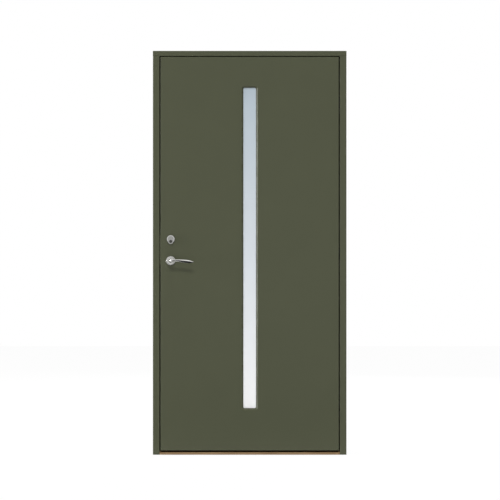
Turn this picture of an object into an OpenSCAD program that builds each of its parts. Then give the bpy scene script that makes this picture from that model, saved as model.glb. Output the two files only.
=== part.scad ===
// Flush outward-opening front door with one narrow glazed slot, hung in its own timber frame.
// Millimetres. -Y faces outdoors, +X runs towards the hinge side and +Z is up.
// The origin is the middle of the threshold's underside.

/* [Frame] */
// Overall width of the frame
frame_w = 990; // [850:1:1200]
// Overall height of the frame
frame_h = 2065; // [1950:1:2300]
// Depth of the frame through the wall
frame_d = 105; // [98:1:140]
// Visible face of each jamb
jamb_face = 34; // [32:0.5:60]
// Visible face of the head
head_face = 27; // [22:0.5:60]
// How far the stop covers the leaf's edge
stop_cover = 16; // [13:0.5:24]
// Rounding of the frame's long edges
frame_edge_r = 3; // [1:0.5:4]
// Gap between leaf and jambs
side_gap = 5.5; // [5:0.25:8]
// Gap between leaf and head
top_gap = 4; // [3:0.25:8]
// Space between leaf and stop, filled by the seal
seal_gap = 6; // [5:0.25:9]

/* [Threshold] */
// Height of the nose in front of the leaf
sill_nose_h = 12; // [10:0.5:25]
// Rise of the tread from the nose to the stop
sill_fall = 3; // [1:0.5:6]
// Gap between leaf and nose
bottom_gap = 10; // [8:0.5:16]

/* [Leaf] */
// Thickness of the leaf
leaf_t = 62; // [60:1:80]
// Thickness of each face board
skin_t = 6; // [5.5:0.5:10]
// Rounding of the face boards' edges
leaf_edge_r = 2.5; // [1:0.25:2.75]
// Width of the lock and hinge stiles
stile_w = 100; // [92:1:130]
// Width of the studs beside the slot
stud_w = 36; // [24:1:60]

/* [Glazed slot] */
// Width of the slot in the outer face
slot_w = 82; // [70:1:140]
// Height of the slot's lower edge above the leaf's lower edge
slot_rise = 207; // [190:1:400]
// Depth of the slot's upper edge below the leaf's upper edge
slot_drop = 149; // [100:1:400]
// Corner radius of the slot
slot_r = 16; // [12:0.5:24]
// Width of the beads' bevel
bevel_w = 8.5; // [5:0.25:11]
// Reach of the outer bead's flange behind the face board
bead_flange = 8; // [5:0.5:12]
// How far the glass passes the slot's edge
glass_bite = 6; // [3:0.25:7]
// Thickness of each pane
pane_t = 4; // [3:0.5:6]
// Width of the space between panes
pane_space = 12; // [10:0.5:14]
// Width of the spacer bars
spacer_w = 8; // [5:0.5:10]
// Thickness of the glazing gaskets
gasket_t = 2; // [1:0.25:4]

/* [Hinges] */
// Distance of the outer hinges from the leaf's ends
hinge_end = 230; // [150:1:300]
// Distance of the pivot from the leaf's edge
pivot_offset = 24; // [23:0.25:26]
// Depth of the pivot behind the outer face
pivot_depth = 13; // [12:0.25:14]
// Radius of the hinge pin
pin_r = 4; // [3:0.25:4.5]
// Wall of the knuckle round the pin
knuckle_wall = 3.2; // [2.5:0.1:3.5]
// Thickness of the gooseneck arm
arm_t = 8; // [6:0.25:8]
// Height of the gooseneck arm
arm_h = 60; // [40:1:80]
// Height of each end block of the cup
lug_h = 15; // [10:1:20]
// Height of the arm's leaf plate
plate_h = 132; // [120:1:160]
// Width of the arm's leaf plate
plate_w = 28; // [24:0.5:28]
// Thickness of the arm's leaf plate
plate_t = 4; // [3:0.25:6]

/* [Lock] */
// Distance of the spindle and the key from the leaf's edge
backset = 52; // [45:0.5:60]
// Height of the spindle above the floor
lever_z = 992; // [900:1:1100]
// Distance from the spindle up to the key
key_rise = 98.5; // [95:0.5:120]
// Depth of the lock case
case_d = 82; // [78:1:86]
// Thickness of the lock case
case_t = 18; // [16:0.5:22]
// Thickness of the forend
forend_t = 3; // [2:0.25:4]
// Width of the forend
forend_w = 22; // [20:0.5:24]
// Throw of the latch
latch_throw = 12; // [10:0.5:14]
// Throw of the dead bolt
bolt_throw = 20; // [14:0.5:20]
// Thickness of the latch guard on the leaf's edge
guard_t = 3.25; // [2:0.25:4]
// Height of the latch guard
guard_h = 158; // [120:1:220]

/* [Lever and cylinder] */
// Radius of the lever's rose
rose_r = 23.5; // [22:0.5:28]
// Height of the lever's rose
rose_h = 9; // [6:0.5:12]
// Radius of the lever's neck
neck_r = 10; // [8:0.25:11]
// Length of the lever from its axis to its tip
lever_l = 118.5; // [100:0.5:140]
// Distance of the lever's blade from the leaf
lever_out = 48; // [44:0.5:60]
// Width of the square spindle
spindle_w = 8; // [7:0.5:9]
// Radius of the cylinder's ring
ring_r = 21.5; // [20:0.5:25]
// Height of the cylinder's ring
ring_h = 9; // [6:0.5:12]
// Radius of the key plug
plug_r = 8; // [6:0.25:9]

/* [Wall fixings] */
// Distance of the outer fixings from the floor and from the top
fixing_end = 150; // [110:1:160]
// Distance between the two inner fixings of a jamb
fixing_spread = 780; // [620:1:900]
// Bore of the fixing sleeves, as a radius
sleeve_bore_r = 4.5; // [3:0.25:5]
// Outer radius of the fixing sleeves
sleeve_r = 7; // [6:0.25:9]

/* [Hidden] */
$fn = 48;
cut = 1;

// Small fits, shared by every pair that they name
running_gap = 0.05;
slide_gap = 0.15;
neck_gap = 0.3;
seal_clear = 0.3;
mortise_gap = 0.5;

// Frame lines
frame_half = frame_w / 2;
y_front = -frame_d / 2;
y_back = frame_d / 2;
jamb_in = frame_half - jamb_face;
leaf_edge = jamb_in - side_gap;
stop_in = leaf_edge - stop_cover;
head_z = frame_h - head_face;
leaf_top = head_z - top_gap;
leaf_bottom = sill_nose_h + bottom_gap;
leaf_h = leaf_top - leaf_bottom;
leaf_back = y_front + leaf_t;
leaf_mid_y = y_front + leaf_t / 2;
leaf_mid_z = (leaf_top + leaf_bottom) / 2;
stop_y = leaf_back + seal_gap;
head_stop_z = leaf_top - stop_cover;
sill_stop_z = leaf_bottom + stop_cover;
sill_back_h = sill_nose_h + sill_fall;

// Seal section: a hollow bulb on a strip, with a barbed fin in a groove
groove_w = 3;
groove_d = 7;
seal_base_w = 7;
seal_base_t = 1.2;
seal_wall = 0.9;
seal_stem = 1.4;
seal_barb = groove_w / 2 - running_gap;
seal_bulb_r = (seal_gap - seal_clear - seal_base_t / 2) / 2;
seal_bulb_y = seal_base_t / 2 + seal_bulb_r;
seal_x = leaf_edge - stop_cover / 2;
head_seal_z = leaf_top - stop_cover / 2;
sill_seal_z = leaf_bottom + stop_cover / 2;

// Wall fixings
fixing_mid = frame_h / 2;
fixing_heights = [
    fixing_end,
    fixing_mid - fixing_spread / 2,
    fixing_mid + fixing_spread / 2,
    frame_h - fixing_end
];
collar_lip = 2.5;
collar_r = sleeve_r + collar_lip;
collar_t = 2;

// Screws
corner_screw_r = 3;
corner_screw_l = 80;
sill_screw_bite = 40;
sill_screw_l = jamb_face + side_gap + stop_cover + sill_screw_bite;
plate_screw_r = 2.2;
plate_screw_l = 32;
jamb_screw_cover = 8;
jamb_screw_l = jamb_face - jamb_screw_cover;
arm_screw_end = 9;
arm_screw_step = 14;

// Hinge lines, measured from the pivot: x towards the jamb, y towards the room
pivot_x = leaf_edge + pivot_offset;
pivot_y = y_front + pivot_depth;
knuckle_r = pin_r + knuckle_wall;
jamb_reach = pivot_offset - side_gap;
corner_sweep = sqrt(jamb_reach * jamb_reach + pivot_depth * pivot_depth);
arm_clear = 1.4;
arm_y0 = corner_sweep + arm_clear;
arm_y1 = arm_y0 + arm_t;
arm_bend_r = arm_t * 0.75;
neck_x1 = knuckle_r;
neck_x0 = knuckle_r - arm_t;
plate_mid_y = (arm_y0 + arm_y1) / 2;
cup_wall = 2;
cup_clear = 1;
knuckle_clear = 0.6;
cavity_x1 = neck_x1 + cup_clear;
cavity_y0 = -knuckle_r - knuckle_clear;
cavity_y1 = sqrt(neck_x1 * neck_x1 + arm_y1 * arm_y1) + cup_clear;
cavity_h = arm_h + 2 * mortise_gap;
cup_h = cavity_h + 2 * lug_h;
flange_t = 2.5;
flange_end = 22;
flange_h = cup_h + 2 * flange_end;
plate_r = 8;
hinge_low = leaf_bottom + hinge_end;
hinge_high = leaf_top - hinge_end;
hinge_mid = (hinge_low + hinge_high) / 2;
hinge_heights = [hinge_low, hinge_mid, hinge_high];

// Glazed slot
slot_z0 = leaf_bottom + slot_rise;
slot_z1 = leaf_top - slot_drop;
slot_h = slot_z1 - slot_z0;
slot_mid_z = (slot_z0 + slot_z1) / 2;
unit_t = 3 * pane_t + 2 * pane_space;
bead_d = (leaf_t - unit_t) / 2 - gasket_t;
bead_lip = 2;
bevel_d = bead_d - bead_lip;
gasket_inset = 1;
pocket_half = slot_w / 2 + bead_flange;
pocket_z0 = slot_z0 - bead_flange;
pocket_z1 = slot_z1 + bead_flange;
glass_half = slot_w / 2 + glass_bite;
glass_z0 = slot_z0 - glass_bite;
glass_z1 = slot_z1 + glass_bite;
glass_y = y_front + bead_d + gasket_t;
pane_step = pane_t + pane_space;
spacer_inset = 1;
setting_block_l = 30;
stud_x1 = pocket_half + stud_w;
rail_x = leaf_edge - stile_w;

// Lock
axis_x = -leaf_edge + backset;
key_z = lever_z + key_rise;
case_x0 = -leaf_edge + forend_t;
case_foot = 45;
case_head = 51;
case_z0 = lever_z - case_foot;
case_z1 = key_z + case_head;
forend_end = 30;
forend_z0 = case_z0 - forend_end;
forend_z1 = case_z1 + forend_end;
forend_screw_inset = 12;
latch_rise = 40;
latch_z = lever_z + latch_rise;
latch_h = 22;
latch_t = 12;
latch_hold = 22;
latch_l = latch_throw + latch_hold;
latch_tip = 3;
bolt_h = 32;
bolt_t = 14;
bolt_hold = 10;
bolt_l = bolt_throw + bolt_hold;
bolt_edge_r = 1;
recess = 0.3;
snib_rise = 62;
snib_z = lever_z + snib_rise;
snib_w = 4;
snib_h = 8;
snib_l = 8;
snib_travel = 5;
guard_d = 17;
guard_edge_r = 1;
guard_lift = 7.5;
guard_z0 = (lever_z + key_z) / 2 + guard_lift - guard_h / 2;
guard_screw_l = 30;
strike_t = 2.5;
strike_w = 24;
strike_play = 1.5;
strike_end_play = 4;
strike_reach = recess + side_gap - strike_end_play;
latch_pocket_d = latch_throw - strike_reach;
bolt_pocket_d = bolt_throw - strike_reach;
follower_r = 11;
cam_r = 8.5;
cam_square = 6;

// Lever blade: distance along the blade as a share of its length, then the height of its
// centre line, its half height and its half thickness
lever_stations = [
    [0.00, 0.0, 9.6, 9.6],
    [0.15, 2.0, 6.2, 7.2],
    [0.33, 1.5, 6.0, 5.6],
    [0.50, -0.4, 7.2, 5.2],
    [0.66, -2.6, 8.3, 4.8],
    [0.80, -4.3, 7.7, 4.2],
    [0.93, -6.0, 4.4, 2.8],
    [1.00, -6.3, 0.8, 0.8]
];
lever_bend_r = 18;
lever_bend_steps = 9;
lever_blade_steps = 24;
lever_sides = 24;
neck_top = lever_out - lever_bend_r;
neck_foot = 0.6;
neck_lap = 4;
socket_d = 28;
set_screw_r = 2.5;
set_screw_rise = 7;
set_screw_out = rose_h + set_screw_rise;
set_screw_inset = 1;
rose_rim = 4.5;
rose_step = 2.5;
bolt_spacing = 19;
bolt_r = 2;
bolt_seat_d = 5;

// Cylinder: an egg of two circles with the key in the lower one
plug_wall = 4;
egg_r1 = plug_r + plug_wall;
egg_r2 = 15;
egg_rise = 12;
egg_inset = 0.05;
ring_wall = 2;
cylinder_proud = 1.5;
cylinder_out = ring_h + cylinder_proud;
cylinder_in = leaf_t / 2 - case_t / 2 - mortise_gap;
nose_inset = 1;
nose_proud = 1;
plug_proud = 0.5;
nose_out = cylinder_out + nose_proud;
plug_out = nose_out + plug_proud;
keyway_w = 2.4;
keyway_h = 9;
keyway_d = 16;
cylinder_bolt_x = 8;
cylinder_bolt_z = 18;
cylinder_bolt_r = 2.5;
turn_rose_h = 8;
turn_shaft_r = 7;
turn_disc_r = 14;
turn_disc_t = 3;
turn_wing_t = 8;
turn_wing_l = 32;
turn_wing_h = 16;
turn_wing_r = 3.5;

olive = "#535645";
oak = "#8c7354";
steel = "#b9bcbe";
zinc = "#8f9294";
rubber = "#1c1c1a";
pine = "#c9a877";
foam = "#e4dcc0";
clear_glass = "#c9d4dc";

// Box between two corners
module block(lo, hi) {
    translate(lo) cube(hi - lo);
}

// Rectangle between two corners, with rounded corners
module soft_rect(lo, hi, r) {
    size = hi - lo;
    translate([lo.x + r, lo.y]) square([size.x - 2 * r, size.y]);
    translate([lo.x, lo.y + r]) square([size.x, size.y - 2 * r]);
    for (x = [lo.x + r, hi.x - r], y = [lo.y + r, hi.y - r]) translate([x, y]) circle(r);
}

// Profile drawn in Y and Z, run along X
module x_extrude(x0, x1) {
    translate([x0, 0, 0]) rotate([90, 0, 90]) linear_extrude(x1 - x0) children();
}

// Profile drawn in X and Z, run along Y
module y_extrude(y0, y1) {
    translate([0, y1, 0]) rotate([90, 0, 0]) linear_extrude(y1 - y0) children();
}

// Round bar along Y
module y_rod(x, z, r, y0, y1) {
    translate([x, y0, z]) rotate([-90, 0, 0]) cylinder(r = r, h = y1 - y0);
}

// The lock side mirrors the hinge side, and the room side mirrors the outer side
module lock_side() {
    mirror([1, 0, 0]) children();
}

module room_side() {
    translate([0, 2 * leaf_mid_y, 0]) mirror([0, 1, 0]) children();
}

// Local frame on the outer face: x along the leaf, y up, z away from the leaf
module on_face(x, z) {
    translate([x, y_front, z]) rotate([90, 0, 0]) children();
}

// Runs a profile round a rounded rectangle: profile x points outwards, profile y runs along Y
module ring_sweep(w, h, r, z) {
    translate([0, y_front, z]) {
        for (side = [0, 1]) {
            mirror([side, 0, 0]) translate([w / 2, 0, r - h / 2]) linear_extrude(h - 2 * r) children();
            mirror([0, 0, side]) translate([r - w / 2, 0, h / 2]) rotate([0, -90, 180])
                mirror([0, 1, 0]) linear_extrude(w - 2 * r) children();
        }
        for (sx = [0, 1], sz = [0, 1])
            mirror([sx, 0, 0]) mirror([0, 0, sz])
                translate([w / 2 - r, 0, r - h / 2]) rotate([-90, 0, 0])
                    rotate_extrude(angle = 90) translate([r, 0]) children();
    }
}

// Countersunk screw below the plane z = 0
module screw_blank(l, r) {
    head_h = 1.2 * r;
    tip_h = 3 * r;
    translate([0, 0, -head_h]) cylinder(r1 = r, r2 = 2 * r, h = head_h);
    translate([0, 0, tip_h - l]) cylinder(r = r, h = l - tip_h - head_h);
    translate([0, 0, -l]) cylinder(r1 = 0.3 * r, r2 = r, h = tip_h);
}

// Hole for that screw, open above its head
module screw_hole(l, r) {
    screw_blank(l, r);
    cylinder(r = 2 * r, h = cut);
}

module screw(l, r) {
    difference() {
        screw_blank(l, r);
        translate([0, 0, -r]) cylinder(r = 0.9 * r, h = r + cut, $fn = 6);
    }
}

// Places of the frame's screws, with the screw's head up the local z
module corner_screw_places() {
    for (y = [(y_front + stop_y) / 2, (stop_y + y_back) / 2])
        translate([frame_half - jamb_face / 2, y, frame_h]) children();
}

module sill_screw_places() {
    for (share = [0.3, 0.7])
        translate([frame_half, stop_y + share * (y_back - stop_y), sill_stop_z / 2])
            rotate([0, 90, 0]) children();
}

module cup_screw_places(z) {
    for (end = [-1, 1], share = [0.25, 0.75])
        translate([
            jamb_in,
            pivot_y + cavity_y0 + share * (cavity_y1 - cavity_y0),
            z + end * (cup_h + flange_end) / 2
        ]) rotate([0, -90, 0]) children();
}

module strike_screw_places() {
    for (z = [forend_z0 + forend_screw_inset, forend_z1 - forend_screw_inset])
        translate([-jamb_in, leaf_mid_y, z]) rotate([0, 90, 0]) children();
}

module arm_screw_places(z) {
    for (end = [-1, 1], row = [0, 1])
        translate([
            leaf_edge,
            pivot_y + plate_mid_y + (row - 0.5) * plate_w / 2,
            z + end * (plate_h / 2 - arm_screw_end - row * arm_screw_step)
        ]) rotate([0, 90, 0]) children();
}

module forend_screw_places() {
    for (z = [forend_z0 + forend_screw_inset, forend_z1 - forend_screw_inset])
        translate([-leaf_edge, leaf_mid_y, z]) rotate([0, -90, 0]) children();
}

module guard_screw_places() {
    for (share = [0.15, 0.5, 0.85])
        translate([-leaf_edge - guard_t, y_front + (guard_d + skin_t) / 2, guard_z0 + share * guard_h])
            rotate([0, -90, 0]) children();
}

module fixing_places() {
    for (z = fixing_heights) translate([jamb_in, leaf_mid_y, z]) rotate([0, 90, 0]) children();
}

// Fixing sleeve with a collar on the rebate side
module sleeve_blank() {
    cylinder(r = sleeve_r, h = jamb_face);
    cylinder(r = collar_r, h = collar_t);
}

module sleeve_hole() {
    translate([0, 0, -cut]) cylinder(r = sleeve_r, h = jamb_face + 2 * cut);
    translate([0, 0, -cut]) cylinder(r = collar_r, h = collar_t + cut);
}

// Jamb board of the hinge side with its fixing holes, square where the stop is glued on
module jamb_blank() {
    difference() {
        union() {
            linear_extrude(head_z) soft_rect([jamb_in, y_front], [frame_half, y_back], frame_edge_r);
            block([jamb_in, stop_y, 0], [jamb_in + 2 * frame_edge_r, y_back, head_z]);
        }
        fixing_places() sleeve_hole();
        corner_screw_places() screw_hole(corner_screw_l, corner_screw_r);
        sill_screw_places() screw_hole(sill_screw_l, corner_screw_r);
    }
}

// Stop strip, glued to the inside of the jamb, with the seal's groove
module stop_blank() {
    difference() {
        union() {
            linear_extrude(head_z) soft_rect([stop_in, stop_y], [jamb_in, y_back], frame_edge_r);
            block([jamb_in - 2 * frame_edge_r, stop_y, 0], [jamb_in, y_back, head_z]);
        }
        block(
            [seal_x - groove_w / 2, stop_y - cut, -cut],
            [seal_x + groove_w / 2, stop_y + groove_d, head_z + cut]
        );
        sill_screw_places() screw_hole(sill_screw_l, corner_screw_r);
    }
}

module frame_head() {
    color(olive) difference() {
        union() {
            x_extrude(-frame_half, frame_half)
                soft_rect([y_front, head_z], [y_back, frame_h], frame_edge_r);
            block([-stop_in, stop_y, head_stop_z], [stop_in, y_back, head_z + frame_edge_r]);
        }
        block(
            [-stop_in - cut, stop_y - cut, head_seal_z - groove_w / 2],
            [stop_in + cut, stop_y + groove_d, head_seal_z + groove_w / 2]
        );
        for (side = [0, 1]) mirror([side, 0, 0])
            corner_screw_places() screw_hole(corner_screw_l, corner_screw_r);
    }
}

module lock_jamb() {
    color(olive) difference() {
        lock_side() jamb_blank();
        strike_blank(cut);
        strike_openings(latch_pocket_d, bolt_pocket_d);
        strike_screw_places() screw_hole(jamb_screw_l, plate_screw_r);
    }
}

module lock_stop() {
    color(olive) lock_side() stop_blank();
}

module hinge_stop() {
    color(olive) stop_blank();
}

module hinge_jamb() {
    color(olive) difference() {
        jamb_blank();
        for (z = hinge_heights) {
            hinge_cup_blank(z, cut);
            cup_screw_places(z) screw_hole(jamb_screw_l, plate_screw_r);
        }
    }
}

// Oak threshold: a low nose under the leaf, a tread that rises to the stop, and the stop itself
module threshold() {
    nose_r = 3;
    stop_r = 4;
    color(oak) difference() {
        union() {
            x_extrude(-jamb_in, jamb_in) soft_rect([y_front, 0], [y_back, sill_nose_h], nose_r);
            block([-jamb_in, y_front, 0], [jamb_in, y_back, sill_nose_h / 2]);
            x_extrude(-jamb_in, jamb_in) polygon([
                [y_front + 2 * nose_r, sill_nose_h],
                [stop_y + stop_r, sill_back_h],
                [stop_y + stop_r, sill_nose_h / 2],
                [y_front + 2 * nose_r, sill_nose_h / 2]
            ]);
            x_extrude(-jamb_in, jamb_in) soft_rect([stop_y, 0], [y_back, sill_stop_z], stop_r);
        }
        for (side = [0, 1]) mirror([side, 0, 0]) {
            block([stop_in, stop_y, -cut], [frame_half, y_back + cut, sill_stop_z + cut]);
            sill_screw_places() screw_hole(sill_screw_l, corner_screw_r);
        }
        block(
            [-stop_in - cut, stop_y - cut, sill_seal_z - groove_w / 2],
            [stop_in + cut, stop_y + groove_d, sill_seal_z + groove_w / 2]
        );
    }
}

// Seal section: profile x across the stop, profile y towards the leaf
module seal_bulb() {
    difference() {
        union() {
            translate([-seal_base_w / 2, 0]) square([seal_base_w, seal_base_t]);
            translate([0, seal_bulb_y]) circle(seal_bulb_r);
        }
        translate([0, seal_bulb_y]) circle(seal_bulb_r - seal_wall);
    }
}

module seal_fin() {
    translate([-seal_stem / 2, -groove_d]) square([seal_stem, groove_d]);
    for (share = [0.35, 0.8])
        polygon([
            [-seal_barb, -share * groove_d],
            [seal_barb, -share * groove_d],
            [0, -share * groove_d - seal_barb]
        ]);
}

module jamb_seal() {
    length = head_z - sill_back_h;
    translate([seal_x, stop_y, sill_back_h]) mirror([0, 1, 0]) {
        linear_extrude(length) seal_bulb();
        linear_extrude(length) seal_fin();
    }
}

module cross_seal(z) {
    reach = seal_x - seal_base_w / 2;
    color(rubber) {
        x_extrude(-reach, reach) translate([stop_y, z]) rotate(90) seal_bulb();
        x_extrude(-stop_in, stop_in) translate([stop_y, z]) rotate(90) seal_fin();
    }
}

module head_seal() {
    cross_seal(head_seal_z);
}

module threshold_seal() {
    cross_seal(sill_seal_z);
}

module lock_jamb_seal() {
    color(rubber) lock_side() jamb_seal();
}

module hinge_jamb_seal() {
    color(rubber) jamb_seal();
}

module frame_screws() {
    color(zinc) {
        for (side = [0, 1]) mirror([side, 0, 0]) {
            corner_screw_places() screw(corner_screw_l, corner_screw_r);
            sill_screw_places() screw(sill_screw_l, corner_screw_r);
        }
        strike_screw_places() screw(jamb_screw_l, plate_screw_r);
        for (z = hinge_heights) cup_screw_places(z) screw(jamb_screw_l, plate_screw_r);
    }
}

module frame_sleeves() {
    color(zinc) for (side = [0, 1]) mirror([side, 0, 0]) fixing_places() difference() {
        sleeve_blank();
        translate([0, 0, -cut]) cylinder(r = sleeve_bore_r, h = jamb_face + 2 * cut);
    }
}

// Strike plate, flush in the lock jamb
module strike_blank(proud = 0) {
    x_extrude(-jamb_in - strike_t, -jamb_in + proud) soft_rect(
        [leaf_mid_y - strike_w / 2, forend_z0],
        [leaf_mid_y + strike_w / 2, forend_z1],
        plate_r
    );
}

module strike_openings(latch_depth, bolt_depth) {
    block(
        [-jamb_in - latch_depth, leaf_mid_y - latch_t / 2 - strike_play, latch_z - latch_h / 2 - strike_play],
        [-jamb_in + cut, leaf_mid_y + latch_t / 2 + strike_play, latch_z + latch_h / 2 + strike_play]
    );
    block(
        [-jamb_in - bolt_depth, leaf_mid_y - bolt_t / 2 - strike_play, key_z - bolt_h / 2 - strike_play],
        [-jamb_in + cut, leaf_mid_y + bolt_t / 2 + strike_play, key_z + bolt_h / 2 + strike_play]
    );
}

module strike_plate() {
    color(steel) difference() {
        strike_blank();
        strike_openings(strike_t + cut, strike_t + cut);
        strike_screw_places() screw_hole(jamb_screw_l, plate_screw_r);
    }
}

// Hinge cup: a steel box let into the jamb, with a flange and end blocks that hold the pin
module hinge_cup_blank(z, proud = 0) {
    translate([pivot_x, pivot_y, z]) {
        block(
            [-jamb_reach - proud, cavity_y0 - cup_wall, -cup_h / 2],
            [cavity_x1 + cup_wall, cavity_y1 + cup_wall, cup_h / 2]
        );
        x_extrude(-jamb_reach - proud, flange_t - jamb_reach) soft_rect(
            [cavity_y0 - cup_wall, -flange_h / 2],
            [cavity_y1 + cup_wall, flange_h / 2],
            plate_r
        );
    }
}

module hinge_cup(z) {
    color(zinc) difference() {
        hinge_cup_blank(z);
        translate([pivot_x, pivot_y, z]) {
            block([-jamb_reach - cut, cavity_y0, -cavity_h / 2], [cavity_x1, cavity_y1, cavity_h / 2]);
            translate([0, 0, -cup_h]) cylinder(r = pin_r, h = 2 * cup_h);
        }
        cup_screw_places(z) screw_hole(jamb_screw_l, plate_screw_r);
    }
}

module hinge_cup_bottom() {
    hinge_cup(hinge_low);
}

module hinge_cup_middle() {
    hinge_cup(hinge_mid);
}

module hinge_cup_top() {
    hinge_cup(hinge_high);
}

module hinge_pins() {
    end = 1;
    color(steel) for (z = hinge_heights) translate([pivot_x, pivot_y, z - cup_h / 2]) rotate_extrude()
        polygon([
            [0, 0], [pin_r - end, 0], [pin_r, end],
            [pin_r, cup_h - end], [pin_r - end, cup_h], [0, cup_h]
        ]);
}

// Face board: its outer edges are rounded on all four sides
module skin_section(half) {
    translate([leaf_edge_r - half, 0]) square([2 * (half - leaf_edge_r), skin_t]);
    translate([-half, leaf_edge_r]) square([2 * half, skin_t - leaf_edge_r]);
    for (side = [-1, 1]) translate([side * (half - leaf_edge_r), leaf_edge_r]) circle(leaf_edge_r);
}

module skin_blank() {
    intersection() {
        translate([0, y_front, leaf_bottom]) linear_extrude(leaf_h) skin_section(leaf_edge);
        translate([0, y_front, leaf_mid_z]) x_extrude(-leaf_edge, leaf_edge)
            mirror([1, 0]) rotate(90) skin_section(leaf_h / 2);
    }
}

// Holes that the handle and cylinder sets need through the leaf
module spindle_bores(y0, y1) {
    y_rod(axis_x, lever_z, follower_r, y0, y1);
    through_bolt_places() y_rod(0, 0, bolt_r + mortise_gap, y0, y1);
    cylinder_bolt_places() y_rod(0, 0, cylinder_bolt_r + mortise_gap, y0, y1);
}

module through_bolt_places() {
    for (side = [-1, 1]) translate([axis_x, 0, lever_z + side * bolt_spacing]) children();
}

module cylinder_bolt_places() {
    for (side = [-1, 1])
        translate([axis_x + side * cylinder_bolt_x, 0, key_z + cylinder_bolt_z]) children();
}

module outer_skin() {
    color(olive) difference() {
        skin_blank();
        y_extrude(y_front - cut, y_front + skin_t + cut)
            soft_rect([-slot_w / 2, slot_z0], [slot_w / 2, slot_z1], slot_r);
        spindle_bores(y_front - cut, y_front + skin_t + cut);
        cylinder_bore();
    }
}

module inner_skin() {
    color(olive) difference() {
        room_side() skin_blank();
        y_extrude(leaf_back - skin_t - cut, leaf_back + cut)
            soft_rect([-pocket_half, pocket_z0], [pocket_half, pocket_z1], slot_r + bead_flange);
        spindle_bores(leaf_back - skin_t - cut, leaf_back + cut);
        y_rod(axis_x, key_z, turn_shaft_r + mortise_gap, leaf_back - skin_t - cut, leaf_back + cut);
    }
}

// Timber core members run between the two face boards
module core_block(x0, x1, z0, z1) {
    block([x0, y_front + skin_t, z0], [x1, leaf_back - skin_t, z1]);
}

module lock_stile() {
    color(pine) difference() {
        core_block(-leaf_edge, -rail_x, leaf_bottom, leaf_top);
        block(
            [-leaf_edge - cut, leaf_mid_y - case_t / 2 - mortise_gap, case_z0 - mortise_gap],
            [case_x0 + case_d + mortise_gap, leaf_mid_y + case_t / 2 + mortise_gap, case_z1 + mortise_gap]
        );
        forend_blank(cut);
        spindle_bores(y_front, leaf_back);
        cylinder_bore();
        y_rod(axis_x, key_z, turn_shaft_r + mortise_gap, leaf_mid_y, leaf_back);
        forend_screw_places() screw_hole(plate_screw_l, plate_screw_r);
        guard_screw_places() screw_hole(guard_screw_l, plate_screw_r);
    }
}

module hinge_stile() {
    color(pine) difference() {
        core_block(rail_x, leaf_edge, leaf_bottom, leaf_top);
        for (z = hinge_heights) {
            arm_plate_blank(z, cut);
            arm_screw_places(z) screw_hole(plate_screw_l, plate_screw_r);
        }
    }
}

module top_rail() {
    color(pine) core_block(-rail_x, rail_x, pocket_z1, leaf_top);
}

module bottom_rail() {
    color(pine) core_block(-rail_x, rail_x, leaf_bottom, pocket_z0);
}

module lock_side_core() {
    color(foam) core_block(-rail_x, -stud_x1, pocket_z0, pocket_z1);
}

module hinge_side_core() {
    color(foam) core_block(stud_x1, rail_x, pocket_z0, pocket_z1);
}

module slot_studs() {
    color(pine) {
        core_block(-stud_x1, -pocket_half, pocket_z0, pocket_z1);
        core_block(pocket_half, stud_x1, pocket_z0, pocket_z1);
    }
}

// Outer bead: a bevel inside the slot and a flange behind the face board
module outer_bead() {
    color(olive) ring_sweep(slot_w, slot_h, slot_r, slot_mid_z) polygon([
        [0, 0], [-bevel_w, bevel_d], [-bevel_w, bead_d],
        [bead_flange, bead_d], [bead_flange, skin_t], [0, skin_t]
    ]);
}

// Inner bead: fills the wider slot of the room side and is the piece that comes out to change glass
module inner_bead() {
    color(olive) room_side() ring_sweep(slot_w, slot_h, slot_r, slot_mid_z) polygon([
        [0, 0], [-bevel_w, bevel_d], [-bevel_w, bead_d], [bead_flange, bead_d], [bead_flange, 0]
    ]);
}

module gasket() {
    color(rubber) ring_sweep(slot_w, slot_h, slot_r, slot_mid_z)
        translate([gasket_inset - bevel_w, bead_d])
            square([bevel_w - gasket_inset + glass_bite / 2, gasket_t]);
}

module outer_gasket() {
    gasket();
}

module inner_gasket() {
    room_side() gasket();
}

// Sealed triple glazing: three panes and two spacer frames
module pane(index) {
    y = glass_y + index * pane_step;
    color(clear_glass, 0.5) block([-glass_half, y, glass_z0], [glass_half, y + pane_t, glass_z1]);
}

module outer_pane() {
    pane(0);
}

module middle_pane() {
    pane(1);
}

module inner_pane() {
    pane(2);
}

module spacer(index) {
    y = glass_y + index * pane_step + pane_t;
    far = glass_half - spacer_inset;
    near = far - spacer_w;
    z0 = glass_z0 + spacer_inset;
    z1 = glass_z1 - spacer_inset;
    color(zinc) difference() {
        block([-far, y, z0], [far, y + pane_space, z1]);
        block([-near, y - cut, z0 + spacer_w], [near, y + pane_space + cut, z1 - spacer_w]);
    }
}

module outer_spacer() {
    spacer(0);
}

module inner_spacer() {
    spacer(1);
}

module setting_blocks() {
    block_t = bead_flange - glass_bite;
    edge = glass_half / 2;
    color(rubber) for (side = [-1, 1])
        block(
            [side * edge - setting_block_l / 2, glass_y, glass_z0 - block_t],
            [side * edge + setting_block_l / 2, glass_y + unit_t, glass_z0]
        );
}

// Gooseneck hinge arm: it turns on the pin inside the jamb and passes round the jamb's front corner
module arm_section() {
    circle(knuckle_r);
    translate([neck_x0, 0]) square([arm_t, arm_y1 - arm_bend_r]);
    translate([neck_x1 - arm_bend_r, arm_y1 - arm_bend_r]) circle(arm_bend_r);
    translate([-pivot_offset - plate_t, arm_y0])
        square([pivot_offset + plate_t + neck_x1 - arm_bend_r, arm_t]);
}

module arm_plate_blank(z, proud = 0) {
    translate([pivot_x, pivot_y, z]) x_extrude(-pivot_offset - plate_t, proud - pivot_offset) soft_rect(
        [plate_mid_y - plate_w / 2, -plate_h / 2],
        [plate_mid_y + plate_w / 2, plate_h / 2],
        plate_r
    );
}

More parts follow.
